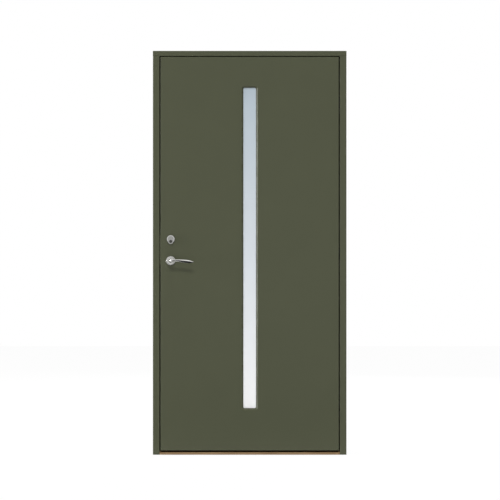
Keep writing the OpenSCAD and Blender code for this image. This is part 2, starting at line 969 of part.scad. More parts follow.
module hinge_arm(z) {
    color(zinc) difference() {
        union() {
            translate([pivot_x, pivot_y, z - arm_h / 2]) linear_extrude(arm_h) arm_section();
            arm_plate_blank(z);
        }
        translate([pivot_x, pivot_y, z - arm_h]) cylinder(r = pin_r + running_gap, h = 2 * arm_h);
        arm_screw_places(z) screw_hole(plate_screw_l, plate_screw_r);
    }
}

module hinge_arm_bottom() {
    hinge_arm(hinge_low);
}

module hinge_arm_middle() {
    hinge_arm(hinge_mid);
}

module hinge_arm_top() {
    hinge_arm(hinge_high);
}

module leaf_screws() {
    color(zinc) {
        for (z = hinge_heights) arm_screw_places(z) screw(plate_screw_l, plate_screw_r);
        forend_screw_places() screw(plate_screw_l, plate_screw_r);
        guard_screw_places() screw(guard_screw_l, plate_screw_r);
    }
}

// Channels in the lock case and openings in the forend share these sections
module latch_channel(x0, x1) {
    block(
        [x0, leaf_mid_y - latch_t / 2 - slide_gap, latch_z - latch_h / 2 - slide_gap],
        [x1, leaf_mid_y + latch_t / 2 + slide_gap, latch_z + latch_h / 2 + slide_gap]
    );
}

module bolt_channel(x0, x1) {
    block(
        [x0, leaf_mid_y - bolt_t / 2 - slide_gap, key_z - bolt_h / 2 - slide_gap],
        [x1, leaf_mid_y + bolt_t / 2 + slide_gap, key_z + bolt_h / 2 + slide_gap]
    );
}

module snib_channel(x0, x1) {
    block(
        [x0, leaf_mid_y - snib_w / 2 - slide_gap, snib_z - snib_h / 2 - slide_gap],
        [x1, leaf_mid_y + snib_w / 2 + slide_gap, snib_z + snib_h / 2 + snib_travel + slide_gap]
    );
}

module lock_case() {
    y0 = leaf_mid_y - case_t / 2;
    y1 = leaf_mid_y + case_t / 2;
    color(zinc) difference() {
        block([case_x0, y0, case_z0], [case_x0 + case_d, y1, case_z1]);
        latch_channel(case_x0 - cut, recess - leaf_edge + latch_l + slide_gap);
        bolt_channel(case_x0 - cut, recess - leaf_edge + bolt_l + slide_gap);
        snib_channel(case_x0 - cut, recess - leaf_edge + snib_l + slide_gap);
        y_rod(axis_x, lever_z, follower_r + running_gap, y0 - cut, y1 + cut);
        y_rod(axis_x, key_z, cam_r + running_gap, y0 - cut, y1 + cut);
        through_bolt_places() y_rod(0, 0, bolt_r + mortise_gap, y0 - cut, y1 + cut);
        cylinder_bolt_places() y_rod(0, 0, cylinder_bolt_r + mortise_gap, y0 - cut, y1 + cut);
    }
}

module forend_blank(proud = 0) {
    x_extrude(-leaf_edge - proud, case_x0) soft_rect(
        [leaf_mid_y - forend_w / 2, forend_z0],
        [leaf_mid_y + forend_w / 2, forend_z1],
        plate_r
    );
}

module lock_forend() {
    color(steel) difference() {
        forend_blank();
        latch_channel(-leaf_edge - cut, case_x0 + cut);
        bolt_channel(-leaf_edge - cut, case_x0 + cut);
        snib_channel(-leaf_edge - cut, case_x0 + cut);
        forend_screw_places() screw_hole(plate_screw_l, plate_screw_r);
    }
}

// Painted steel strip that covers the gap in front of the latch
module latch_guard() {
    color(olive) difference() {
        translate([0, 0, guard_z0]) linear_extrude(guard_h)
            soft_rect([-leaf_edge - guard_t, y_front], [-leaf_edge, y_front + guard_d], guard_edge_r);
        guard_screw_places() screw_hole(guard_screw_l, plate_screw_r);
    }
}

// Rose: a flat disc inside a raised round rim, on the outer face
module rose_section(r, h, bore) {
    translate([bore, 0]) square([r - rose_rim - bore, h - rose_step]);
    translate([r - rose_rim - cut, 0]) square([rose_rim + cut, h - rose_rim / 2]);
    translate([r - rose_rim / 2, h - rose_rim / 2]) circle(rose_rim / 2);
}

module lever_rose() {
    difference() {
        on_face(axis_x, lever_z) rotate_extrude() rose_section(rose_r, rose_h, neck_r + neck_gap);
        through_bolt_places() y_rod(0, 0, bolt_r, y_front - bolt_seat_d, y_front + cut);
    }
}

module outer_rose() {
    color(steel) lever_rose();
}

module inner_rose() {
    color(steel) room_side() lever_rose();
}

module through_bolts() {
    color(zinc) {
        through_bolt_places() y_rod(0, 0, bolt_r, y_front - bolt_seat_d, leaf_back + bolt_seat_d);
        cylinder_bolt_places()
            y_rod(0, 0, cylinder_bolt_r, y_front + cylinder_in - bolt_seat_d, leaf_back + bolt_seat_d);
    }
}

// Smooth value between the lever's stations
function station_at(share) =
    let (last = len(lever_stations) - 2)
    let (below = [for (i = [0:last]) if (lever_stations[i][0] <= share) i])
    let (i = below[len(below) - 1])
    let (p0 = lever_stations[max(i - 1, 0)])
    let (p1 = lever_stations[i])
    let (p2 = lever_stations[i + 1])
    let (p3 = lever_stations[min(i + 2, last + 1)])
    let (t = (share - p1[0]) / (p2[0] - p1[0]))
    let (m1 = (p2 - p0) * (p2[0] - p1[0]) / (p2[0] - p0[0]))
    let (m2 = (p3 - p1) * (p2[0] - p1[0]) / (p3[0] - p1[0]))
    p1 * (2 * pow(t, 3) - 3 * t * t + 1) + m1 * (pow(t, 3) - 2 * t * t + t)
        + p2 * (3 * t * t - 2 * pow(t, 3)) + m2 * (pow(t, 3) - t * t);

// One section of the lever: its centre, the turn of the path and its half sizes
function bend_place(turn) = [
    lever_bend_r * (1 - cos(turn)),
    neck_top + lever_bend_r * sin(turn),
    turn,
    station_at(lever_bend_r * (1 - cos(turn)) / lever_l)
];
function blade_place(share) = [lever_l * share, lever_out, 90, station_at(share)];
lever_bend_share = lever_bend_r / lever_l;
lever_places = concat(
    [[0, neck_top - neck_lap, 0, lever_stations[0]]],
    [for (i = [0:lever_bend_steps - 1]) bend_place(90 * i / lever_bend_steps)],
    [for (i = [0:lever_blade_steps])
        blade_place(lever_bend_share + (1 - lever_bend_share) * sin(90 * i / lever_blade_steps))]
);
function lever_ring(place) = [
    for (j = [0:lever_sides - 1])
        let (angle = 360 * j / lever_sides)
        let (across = place[3][3] * sin(angle))
        [
            place[0] + across * cos(place[2]),
            place[3][1] + place[3][2] * cos(angle),
            place[1] - across * sin(place[2])
        ]
];

module lever_blade() {
    rings = len(lever_places);
    n = lever_sides;
    points = [for (place = lever_places) each lever_ring(place)];
    walls = [
        for (i = [0:rings - 2], j = [0:n - 1])
            let (k = (j + 1) % n)
            each [
                [i * n + j, i * n + k, (i + 1) * n + k],
                [i * n + j, (i + 1) * n + k, (i + 1) * n + j]
            ]
    ];
    foot = [[for (j = [0:n - 1]) n - 1 - j]];
    tip = [[for (j = [0:n - 1]) (rings - 1) * n + j]];
    polyhedron(points, concat(walls, foot, tip), convexity = 4);
}

module lever() {
    difference() {
        on_face(axis_x, lever_z) union() {
            translate([0, 0, neck_foot]) cylinder(r = neck_r, h = neck_top - neck_foot);
            lever_blade();
        }
        spindle_bar();
        set_screw_hole();
    }
}

module set_screw_hole() {
    on_face(axis_x, lever_z) translate([0, -neck_r - cut, set_screw_out]) rotate([-90, 0, 0])
        cylinder(r = set_screw_r, h = neck_r + cut);
}

module outer_lever() {
    color(steel) lever();
}

module inner_lever() {
    color(steel) room_side() lever();
}

module spindle_bar() {
    half = spindle_w / 2;
    block(
        [axis_x - half, y_front - socket_d, lever_z - half],
        [axis_x + half, leaf_back + socket_d, lever_z + half]
    );
}

module spindle() {
    color(zinc) spindle_bar();
}

module follower() {
    color(zinc) difference() {
        y_rod(axis_x, lever_z, follower_r, leaf_mid_y - case_t / 2, leaf_mid_y + case_t / 2);
        spindle_bar();
    }
}

module set_screw() {
    l = neck_r - spindle_w / 2 - set_screw_inset;
    on_face(axis_x, lever_z) translate([0, -spindle_w / 2, set_screw_out]) rotate([90, 0, 0]) difference() {
        cylinder(r = set_screw_r, h = l);
        translate([0, 0, l / 2]) cylinder(r = set_screw_r / 2, h = l, $fn = 6);
    }
}

module lever_set_screws() {
    color(zinc) {
        set_screw();
        room_side() set_screw();
    }
}

// Latch: its bevel meets the strike first as the door closes
module latch_bolt() {
    color(steel) translate([recess - leaf_edge, leaf_mid_y, latch_z - latch_h / 2]) linear_extrude(latch_h)
        polygon([
            [0, -latch_t / 2], [0, latch_tip - latch_t / 2], [latch_t - latch_tip, latch_t / 2],
            [latch_l, latch_t / 2], [latch_l, -latch_t / 2]
        ]);
}

// Small slider in the forend that holds the latch in
module latch_snib() {
    color(steel) block(
        [recess - leaf_edge, leaf_mid_y - snib_w / 2, snib_z - snib_h / 2],
        [recess - leaf_edge + snib_l, leaf_mid_y + snib_w / 2, snib_z + snib_h / 2]
    );
}

module dead_bolt() {
    color(steel) translate([recess - leaf_edge, 0, 0]) x_extrude(0, bolt_l) soft_rect(
        [leaf_mid_y - bolt_t / 2, key_z - bolt_h / 2],
        [leaf_mid_y + bolt_t / 2, key_z + bolt_h / 2],
        bolt_edge_r
    );
}

// Egg outline of the cylinder, round the key's axis
module egg(grow) {
    lean = asin((egg_r2 - egg_r1) / egg_rise);
    side = [cos(lean), -sin(lean)];
    low = (egg_r1 + grow - egg_inset) * side;
    high = [0, egg_rise] + (egg_r2 + grow - egg_inset) * side;
    circle(egg_r1 + grow);
    translate([0, egg_rise]) circle(egg_r2 + grow);
    polygon([low, high, [-high.x, high.y], [-low.x, low.y]]);
}

module cylinder_bore() {
    on_face(axis_x, key_z) translate([0, 0, -cylinder_in - mortise_gap])
        linear_extrude(cylinder_in + mortise_gap + cut) egg(mortise_gap);
}

// Ring round the cylinder: a cone with a lip under the key
module cylinder_ring() {
    color(steel) on_face(axis_x, key_z) difference() {
        union() {
            translate([0, egg_rise, 0]) cylinder(r1 = ring_r, r2 = ring_r - ring_wall, h = ring_h);
            cylinder(r1 = egg_r1 + ring_wall, r2 = egg_r1 + ring_wall / 2, h = ring_h);
        }
        translate([0, 0, -cut]) linear_extrude(ring_h + 2 * cut) egg(running_gap);
    }
}

module cylinder_body() {
    color(steel) difference() {
        on_face(axis_x, key_z) difference() {
            union() {
                translate([0, 0, -cylinder_in]) linear_extrude(cylinder_in + cylinder_out) egg(0);
                cylinder(r = egg_r1 - nose_inset, h = nose_out);
            }
            translate([0, 0, -cylinder_in - cut])
                cylinder(r = plug_r + running_gap, h = cylinder_in + plug_out + 2 * cut);
        }
        cylinder_bolt_places()
            y_rod(0, 0, cylinder_bolt_r, y_front + cylinder_in - bolt_seat_d, y_front + cylinder_in + cut);
    }
}

module key_plug() {
    color(steel) on_face(axis_x, key_z) difference() {
        translate([0, 0, -cylinder_in]) cylinder(r = plug_r, h = cylinder_in + plug_out);
        translate([-keyway_w / 2, -keyway_h / 2, plug_out - keyway_d])
            cube([keyway_w, keyway_h, keyway_d + cut]);
    }
}

module thumbturn_rose() {
    color(steel) room_side() difference() {
        on_face(axis_x, key_z + egg_rise / 2) union() {
            rotate_extrude() rose_section(ring_r, turn_rose_h, turn_shaft_r);
            cylinder(r = turn_shaft_r + cut, h = turn_rose_h - rose_step);
        }
        on_face(axis_x, key_z) translate([0, 0, -cut])
            cylinder(r = turn_shaft_r + running_gap, h = turn_rose_h + 2 * cut);
        cylinder_bolt_places() y_rod(0, 0, cylinder_bolt_r, y_front - bolt_seat_d, y_front + cut);
    }
}

// Thumbturn: a disc with an upright wing, on a shaft that ends in a square tail in the cam
module thumbturn() {
    color(steel) room_side() on_face(axis_x, key_z) {
        translate([0, 0, -skin_t]) cylinder(r = turn_shaft_r, h = skin_t + turn_rose_h + mortise_gap);
        translate([0, 0, turn_rose_h + mortise_gap]) cylinder(r = turn_disc_r, h = turn_disc_t);
        translate([0, 0, turn_rose_h + turn_disc_t]) linear_extrude(turn_wing_h) soft_rect(
            [-turn_wing_t / 2, -turn_wing_l / 2],
            [turn_wing_t / 2, turn_wing_l / 2],
            turn_wing_r
        );
        translate([-cam_square / 2, -cam_square / 2, -leaf_t / 2 - case_t / 2])
            cube([cam_square, cam_square, leaf_t / 2 + case_t / 2]);
    }
}

module bolt_cam() {
    half = cam_square / 2;
    color(zinc) difference() {
        y_rod(axis_x, key_z, cam_r, leaf_mid_y - case_t / 2, leaf_mid_y + case_t / 2);
        block(
            [axis_x - half, leaf_mid_y - case_t, key_z - half],
            [axis_x + half, leaf_mid_y + case_t, key_z + half]
        );
    }
}

frame_head();
lock_jamb();
hinge_jamb();
lock_stop();
hinge_stop();
threshold();
head_seal();
lock_jamb_seal();
hinge_jamb_seal();
threshold_seal();
frame_screws();
frame_sleeves();
strike_plate();
hinge_cup_bottom();
hinge_cup_middle();
hinge_cup_top();
hinge_pins();
outer_skin();
inner_skin();
lock_stile();
hinge_stile();
top_rail();
bottom_rail();
lock_side_core();
hinge_side_core();
slot_studs();
outer_bead();
inner_bead();
outer_gasket();
inner_gasket();
outer_pane();
middle_pane();
inner_pane();
outer_spacer();
inner_spacer();
setting_blocks();
hinge_arm_bottom();
hinge_arm_middle();
hinge_arm_top();
leaf_screws();
lock_case();
lock_forend();
latch_guard();
outer_rose();
inner_rose();
through_bolts();
cylinder_ring();
cylinder_body();
thumbturn_rose();
outer_lever();
inner_lever();
spindle();
follower();
lever_set_screws();
latch_bolt();
latch_snib();
dead_bolt();
thumbturn();
bolt_cam();
key_plug();
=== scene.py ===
# A flush olive front door with one narrow glazed slot, in its timber frame on an oak threshold.
# Metres. -Y faces outdoors, +X runs to the hinge side and +Z is up.
import math

import bpy
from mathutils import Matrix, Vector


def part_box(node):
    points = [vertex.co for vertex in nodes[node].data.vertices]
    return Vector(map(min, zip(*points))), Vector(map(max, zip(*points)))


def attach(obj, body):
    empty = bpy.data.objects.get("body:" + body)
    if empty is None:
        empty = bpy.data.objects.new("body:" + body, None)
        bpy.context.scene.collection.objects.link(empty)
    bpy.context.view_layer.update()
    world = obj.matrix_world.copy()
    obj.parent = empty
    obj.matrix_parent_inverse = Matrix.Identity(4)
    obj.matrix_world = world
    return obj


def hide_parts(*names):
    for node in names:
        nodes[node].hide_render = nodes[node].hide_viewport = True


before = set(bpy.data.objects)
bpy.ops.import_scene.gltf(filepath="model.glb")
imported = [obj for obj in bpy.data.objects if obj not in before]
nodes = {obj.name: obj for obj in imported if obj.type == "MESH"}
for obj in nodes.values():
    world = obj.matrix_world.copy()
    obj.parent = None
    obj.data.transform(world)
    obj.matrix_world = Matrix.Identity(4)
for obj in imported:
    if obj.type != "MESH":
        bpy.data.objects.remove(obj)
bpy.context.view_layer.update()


# Frame head, jambs and stops: planed pine with a sprayed satin olive lacquer.
# The jambs end under the head, long screws through the head hold the butt joints, and the stop
# strips are glued to the jambs.
OLIVE = (73, 76, 57)
SATIN_ROUGHNESS = 0.42
CLOUDINESS = 0.015
NOISE_LOW, NOISE_HIGH = 0.3, 0.7
SMOOTH_LIMIT = math.radians(32)


def linear(colour):
    """An 0 to 255 screen colour as the linear colour that a shader takes."""
    def channel(value):
        value = value / 255
        return value / 12.92 if value <= 0.04045 else ((value + 0.055) / 1.055) ** 2.4
    return tuple(channel(value) for value in colour) + (1.0,)


def shade(colour, factor):
    """A linear colour made lighter or darker."""
    return tuple(value * factor for value in colour[:3]) + (1.0,)


def start_finish(name, roughness, metallic=0.0):
    """A new finish: its material, its shader and the object's own coordinates."""
    finish = bpy.data.materials.new(name)
    finish.use_nodes = True
    shader = finish.node_tree.nodes["Principled BSDF"]
    shader.inputs["Roughness"].default_value = roughness
    shader.inputs["Metallic"].default_value = metallic
    coordinates = finish.node_tree.nodes.new("ShaderNodeTexCoord")
    return finish, shader, coordinates.outputs["Object"]


def cloud(finish, place, scale, detail=3.0, distortion=0.0):
    """Soft noise, most of it between NOISE_LOW and NOISE_HIGH."""
    noise = finish.node_tree.nodes.new("ShaderNodeTexNoise")
    noise.inputs["Scale"].default_value = scale
    noise.inputs["Detail"].default_value = detail
    noise.inputs["Distortion"].default_value = distortion
    finish.node_tree.links.new(place, noise.inputs["Vector"])
    return noise.outputs["Fac"]


def colour_by(finish, shader, factor, stops):
    """Base colour from a factor, through a ramp of (position, colour) stops."""
    ramp = finish.node_tree.nodes.new("ShaderNodeValToRGB")
    elements = ramp.color_ramp.elements
    while len(elements) < len(stops):
        elements.new(0.5)
    for element, (position, colour) in zip(elements, stops):
        element.position = position
        element.color = colour
    finish.node_tree.links.new(factor, ramp.inputs["Fac"])
    finish.node_tree.links.new(ramp.outputs["Color"], shader.inputs["Base Color"])


def two_tones(finish, shader, noise, dark, light):
    """Base colour between two linear tones, from soft noise."""
    colour_by(finish, shader, noise, [(NOISE_LOW, dark), (NOISE_HIGH, light)])


def gloss_by(finish, shader, noise, low, high):
    """Roughness between two values, from soft noise."""
    spread = finish.node_tree.nodes.new("ShaderNodeMapRange")
    spread.inputs["From Min"].default_value = NOISE_LOW
    spread.inputs["From Max"].default_value = NOISE_HIGH
    spread.inputs["To Min"].default_value = low
    spread.inputs["To Max"].default_value = high
    finish.node_tree.links.new(noise, spread.inputs["Value"])
    finish.node_tree.links.new(spread.outputs["Result"], shader.inputs["Roughness"])


def relief_by(finish, shader, height, depth, strength):
    """Fine surface relief from a factor, with its depth in metres."""
    bump = finish.node_tree.nodes.new("ShaderNodeBump")
    bump.inputs["Strength"].default_value = strength
    bump.inputs["Distance"].default_value = depth
    finish.node_tree.links.new(height, bump.inputs["Height"])
    finish.node_tree.links.new(bump.outputs["Normal"], shader.inputs["Normal"])


def lacquer(name, colour, roughness):
    """Sprayed satin lacquer: faint orange peel, slight cloudiness and uneven gloss."""
    finish, shader, place = start_finish(name, roughness)
    tone = linear(colour)
    clouding = cloud(finish, place, scale=7.0)
    two_tones(finish, shader, clouding, shade(tone, 1 - CLOUDINESS), shade(tone, 1 + CLOUDINESS))
    gloss_by(finish, shader, cloud(finish, place, scale=28.0), roughness - 0.02, roughness + 0.03)
    shader.inputs["Specular IOR Level"].default_value = 0.3
    orange_peel = cloud(finish, place, scale=650.0, detail=2.0)
    relief_by(finish, shader, orange_peel, depth=0.00012, strength=0.35)
    return finish


def soften(piece, limit):
    """Shades a mesh smooth across edges that are flatter than the limit."""
    piece.data.polygons.foreach_set("use_smooth", [True] * len(piece.data.polygons))
    piece.data.set_sharp_from_angle(angle=limit)


def wear(finish, *names):
    """Puts a finish on CAD nodes, with their curved faces shaded smooth."""
    for name in names:
        piece = nodes[name]
        piece.data.materials.clear()
        piece.data.materials.append(finish)
        soften(piece, SMOOTH_LIMIT)


wear(
    lacquer("frame_olive_lacquer", OLIVE, SATIN_ROUGHNESS),
    "frame_head", "lock_jamb", "hinge_jamb", "lock_stop", "hinge_stop",
)


# Threshold: one oak board with a low nose, a sloped tread and the stop, oiled.
# It is housed between the jambs and screwed through them from outside.
OAK_TONES = [(0.28, (104, 80, 52)), (0.5, (134, 108, 76)), (0.72, (154, 130, 98))]


def stretch(finish, place, scale):
    """Coordinates scaled by a factor along each axis, for grain that runs one way."""
    mapping = finish.node_tree.nodes.new("ShaderNodeMapping")
    mapping.inputs["Scale"].default_value = scale
    finish.node_tree.links.new(place, mapping.inputs["Vector"])
    return mapping.outputs["Vector"]


def linear_stops(stops):
    """Ramp stops with their screen colours made linear."""
    return [(position, linear(tone)) for position, tone in stops]


oiled_oak, shader, place = start_finish("oiled_oak", roughness=0.5)
grain_place = stretch(oiled_oak, place, (3.0, 70.0, 70.0))
grain = cloud(oiled_oak, grain_place, scale=2.2, detail=5.0, distortion=0.6)
pore_place = stretch(oiled_oak, place, (45.0, 900.0, 900.0))
pores = cloud(oiled_oak, pore_place, scale=1.6, detail=2.0)
colour_by(oiled_oak, shader, grain, linear_stops(OAK_TONES))
gloss_by(oiled_oak, shader, grain, low=0.44, high=0.6)
relief_by(oiled_oak, shader, pores, depth=0.0002, strength=0.5)
wear(oiled_oak, "threshold")


# Seals: black extruded rubber, a hollow bulb on a strip, pressed into a groove by a barbed fin.
# They run along the stops of head, jambs and threshold.
black_rubber, shader, place = start_finish("black_rubber", roughness=0.7)
bloom = cloud(black_rubber, place, scale=60.0)
two_tones(black_rubber, shader, bloom, linear((22, 22, 21)), linear((33, 33, 31)))
gloss_by(black_rubber, shader, cloud(black_rubber, place, scale=140.0), low=0.6, high=0.8)
skin = cloud(black_rubber, place, scale=1500.0, detail=2.0)
relief_by(black_rubber, shader, skin, depth=0.00008, strength=0.4)
wear(black_rubber, "head_seal", "lock_jamb_seal", "hinge_jamb_seal", "threshold_seal")


# Hinges: pressed steel cups with pins, and cast gooseneck arms, zinc-plated and black-passivated.
# The cups are let into the hinge jamb, and each arm's plate is screwed into the leaf's edge.
def zinc_plate(name, dark, light):
    """Zinc plating with a fine spangle between two tones."""
    finish, shader, place = start_finish(name, roughness=0.38, metallic=1.0)
    spangle = finish.node_tree.nodes.new("ShaderNodeTexVoronoi")
    spangle.inputs["Scale"].default_value = 380.0
    finish.node_tree.links.new(place, spangle.inputs["Vector"])
    colour_by(finish, shader, spangle.outputs["Distance"], linear_stops([(0.0, dark), (0.9, light)]))
    gloss_by(finish, shader, cloud(finish, place, scale=90.0), low=0.3, high=0.46)
    crystals = cloud(finish, place, scale=900.0, detail=2.0)
    relief_by(finish, shader, crystals, depth=0.00006, strength=0.3)
    return finish


wear(
    zinc_plate("black_zinc", (46, 46, 45), (62, 62, 60)),
    "hinge_cup_bottom", "hinge_cup_middle", "hinge_cup_top", "hinge_pins",
    "hinge_arm_bottom", "hinge_arm_middle", "hinge_arm_top",
)


# Screws, sleeves, bolts and the lock's inside: turned and pressed steel, bright zinc-plated.
# The sleeves stand in the jambs for the wall screws, and the lock case is let into the lock stile.
wear(
    zinc_plate("bright_zinc", (160, 162, 164), (182, 183, 185)),
    "frame_sleeves", "frame_screws", "leaf_screws", "through_bolts",
    "lock_case", "follower", "bolt_cam", "spindle", "lever_set_screws",
)


# Slot studs: two planed pine uprights beside the glass, glued between the face boards.
# They are hidden in the finished leaf, and the grain runs along them.
PINE_TONES = [(0.3, (178, 136, 88)), (0.55, (205, 170, 120)), (0.75, (218, 188, 142))]
planed_pine, shader, place = start_finish("planed_pine", roughness=0.55)
ring_place = stretch(planed_pine, place, (55.0, 55.0, 1.6))
year_rings = cloud(planed_pine, ring_place, scale=1.4, detail=4.0, distortion=0.8)
colour_by(planed_pine, shader, year_rings, linear_stops(PINE_TONES))
gloss_by(planed_pine, shader, year_rings, low=0.5, high=0.65)
relief_by(planed_pine, shader, year_rings, depth=0.00015, strength=0.4)
wear(planed_pine, "slot_studs")


# Insulation cores: boards of rigid cream foam, glued between stiles, rails and studs.
# The face boards hide them.
FOAM_TONES = [(0.35, (216, 206, 176)), (0.65, (232, 224, 198))]
rigid_foam, shader, place = start_finish("rigid_foam", roughness=0.85)
cells = cloud(rigid_foam, place, scale=220.0)
colour_by(rigid_foam, shader, cells, linear_stops(FOAM_TONES))
pits = cloud(rigid_foam, place, scale=900.0, detail=2.0)
relief_by(rigid_foam, shader, pits, depth=0.0003, strength=0.6)
wear(rigid_foam, "lock_side_core", "hinge_side_core")


# Leaf: fibreboard faces with rounded arrises, glued over pine stiles and rails.
# Faces, edges and latch guard are sprayed with the frame's olive lacquer, and the glazing beads
# with a slightly glossier coat of it.
BEAD_ROUGHNESS = 0.27
wear(
    lacquer("leaf_olive_lacquer", OLIVE, SATIN_ROUGHNESS),
    "outer_skin", "inner_skin", "lock_stile", "hinge_stile", "top_rail", "bottom_rail", "latch_guard",
)
wear(lacquer("bead_olive_lacquer", OLIVE, BEAD_ROUGHNESS), "outer_bead", "inner_bead")


# Glazing: a sealed unit of a satin-etched outer pane and two clear panes in folded spacers.
# Rubber gaskets and setting blocks hold it clear of the bevelled beads.
clear_pane, shader, place = start_finish("clear_pane", roughness=0.03)
tint = cloud(clear_pane, place, scale=3.0)
two_tones(clear_pane, shader, tint, linear((224, 234, 236)), linear((232, 240, 241)))
shader.inputs["Alpha"].default_value = 0.08
wear(clear_pane, "middle_pane", "inner_pane")

# The etched face is pale. Its gradient from white at the foot of the slot to grey-blue at its head is
# painted light, not a tint of the glass.
ETCHED_WHITE_AND_PAINTED_LIGHT_TONES = [(0.0, (254, 254, 255)), (0.5, (218, 225, 232)), (1.0, (182, 197, 208))]
etched_pane, shader, place = start_finish("satin_etched_pane_painted_light", roughness=0.3)
split = etched_pane.node_tree.nodes.new("ShaderNodeSeparateXYZ")
etched_pane.node_tree.links.new(place, split.inputs["Vector"])
pane_low, pane_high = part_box("outer_pane")
height = etched_pane.node_tree.nodes.new("ShaderNodeMapRange")
height.inputs["From Min"].default_value = pane_low[2]
height.inputs["From Max"].default_value = pane_high[2]
etched_pane.node_tree.links.new(split.outputs["Z"], height.inputs["Value"])
# Painted light: the base colour grades with height, from white at the foot of the slot to grey-blue at its
# head.
colour_by(etched_pane, shader, height.outputs["Result"], linear_stops(ETCHED_WHITE_AND_PAINTED_LIGHT_TONES))
shader.inputs["Specular IOR Level"].default_value = 1.0
shader.inputs["Coat Weight"].default_value = 0.5
etching = cloud(etched_pane, place, scale=1200.0, detail=2.0)
relief_by(etched_pane, shader, etching, depth=0.0001, strength=0.3)
wear(etched_pane, "outer_pane")

spacer_bar, shader, place = start_finish("spacer_aluminium", roughness=0.4, metallic=1.0)
mill_tone = cloud(spacer_bar, place, scale=120.0)
two_tones(spacer_bar, shader, mill_tone, linear((190, 192, 194)), linear((206, 207, 209)))
gloss_by(spacer_bar, shader, cloud(spacer_bar, place, scale=60.0), low=0.34, high=0.48)
wear(spacer_bar, "outer_spacer", "inner_spacer")
wear(black_rubber, "outer_gasket", "inner_gasket", "setting_blocks")


# Lock edge: stainless forend and strike plate, with nickel-plated latch, snib and dead bolt.
# The plates are brushed lengthwise and screwed flush into the leaf's edge and the jamb.
def satin_steel(name, brush, low, high, grey):
    """Brushed metal: brush scales the strokes along each axis, low and high bound the roughness."""
    finish, shader, place = start_finish(name, low, metallic=1.0)
    strokes = cloud(finish, stretch(finish, place, brush), scale=1.0)
    tone = linear((grey, grey, grey - 3))
    two_tones(finish, shader, strokes, shade(tone, 0.9), shade(tone, 1.08))
    gloss_by(finish, shader, strokes, low, high)
    relief_by(finish, shader, strokes, depth=0.00002, strength=0.25)
    return finish


edge_steel = satin_steel("lock_edge_steel", brush=(900.0, 900.0, 30.0), low=0.24, high=0.36, grey=190)
wear(edge_steel, "lock_forend", "strike_plate")
bolt_nickel = satin_steel("bolt_nickel", brush=(40.0, 700.0, 700.0), low=0.22, high=0.32, grey=142)
wear(bolt_nickel, "latch_bolt", "dead_bolt")
dark_nickel = satin_steel("snib_dark_nickel", brush=(700.0, 700.0, 700.0), low=0.3, high=0.42, grey=84)
wear(dark_nickel, "latch_snib")


# Roses, cylinder and thumbturn: turned stainless steel and nickel with a fine satin finish.
# Through bolts clamp each pair of roses to the leaf from the room side.
turned_steel = satin_steel("turned_satin_steel", brush=(500.0, 500.0, 500.0), low=0.2, high=0.3, grey=190)
wear(turned_steel, "outer_rose", "inner_rose", "cylinder_ring", "thumbturn_rose", "thumbturn")
case_nickel = satin_steel("nickel_cylinder", brush=(700.0, 700.0, 700.0), low=0.24, high=0.34, grey=156)
wear(case_nickel, "cylinder_body")
plug_nickel = satin_steel("dark_nickel_plug", brush=(700.0, 700.0, 700.0), low=0.3, high=0.4, grey=78)
wear(plug_nickel, "key_plug")


# Levers: cast stainless steel, polished, with a round neck that bends into a wing-shaped blade.
# Each one sits on the square spindle and is held by a set screw under its neck.
spindle_low, spindle_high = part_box("spindle")
SPINDLE_X = (spindle_low[0] + spindle_high[0]) / 2
SPINDLE_Z = (spindle_low[2] + spindle_high[2]) / 2
FACE_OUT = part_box("outer_skin")[0][1]
FACE_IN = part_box("inner_skin")[1][1]
NECK_R = 0.0100
NECK_STEPS = (0.0006, 0.012, 0.024)
BEND_R, BEND_LEAD, BEND_STEPS = 0.018, 0.001, 14
STAND_OFF, LEVER_L, BLADE_STEPS = 0.0479, 0.1185, 40
LEVER_SIDES = 40
LEVER_SMOOTH_LIMIT = math.radians(50)
# The blade is fullest above its middle, from LEAN_RUN of its length on. LEAN_TRIM keeps its thickness.
BLADE_LEAN, LEAN_RUN, LEAN_TRIM = 0.6, 0.22, 0.4
# Share of the length, then centre height, half height and half thickness in millimetres.
STATIONS = [
    (0.00, 0.0, 9.6, 9.6),
    (0.15, 2.0, 6.2, 7.2),
    (0.33, 1.5, 6.0, 5.6),
    (0.50, -0.4, 7.2, 5.2),
    (0.66, -2.6, 8.3, 4.8),
    (0.80, -4.3, 7.7, 4.2),
    (0.93, -6.0, 4.4, 2.8),
    (1.00, -6.3, 0.8, 0.8),
]


def station(share):
    """Centre height, half height and half thickness of the blade, smooth between stations."""
    last = len(STATIONS) - 2
    i = max(k for k in range(last + 1) if STATIONS[k][0] <= share + 1e-9)
    p0, p1 = STATIONS[max(i - 1, 0)], STATIONS[i]
    p2, p3 = STATIONS[i + 1], STATIONS[min(i + 2, last + 1)]
    step = p2[0] - p1[0]
    t = (share - p1[0]) / step
    values = []
    for a0, a1, a2, a3 in list(zip(p0, p1, p2, p3))[1:]:
        m1 = (a2 - a0) * step / (p2[0] - p0[0])
        m2 = (a3 - a1) * step / (p3[0] - p1[0])
        values.append(
            a1 * (2 * t ** 3 - 3 * t * t + 1) + m1 * (t ** 3 - 2 * t * t + t)
            + a2 * (3 * t * t - 2 * t ** 3) + m2 * (t ** 3 - t * t)
        )
    return [value / 1000 for value in values]


def lever_rings():
    """Rings of the lever as (x, out, turn, centre height, half height, half thickness)."""
    rings = [(0.0, out, 0.0, 0.0, NECK_R, NECK_R) for out in NECK_STEPS]
    rings.append((0.0, STAND_OFF - BEND_R - BEND_LEAD, 0.0, 0.0, NECK_R, NECK_R))
    for i in range(1, BEND_STEPS):
        turn = math.pi / 2 * i / BEND_STEPS
        x = BEND_R * (1 - math.cos(turn))
        out = STAND_OFF - BEND_R + BEND_R * math.sin(turn)
        rings.append((x, out, turn, *station(x / LEVER_L)))
    start = BEND_R / LEVER_L
    for i in range(BLADE_STEPS + 1):
        share = start + (1 - start) * math.sin(math.pi / 2 * i / BLADE_STEPS)
        rings.append((LEVER_L * share, STAND_OFF, math.pi / 2, *station(share)))
    return rings


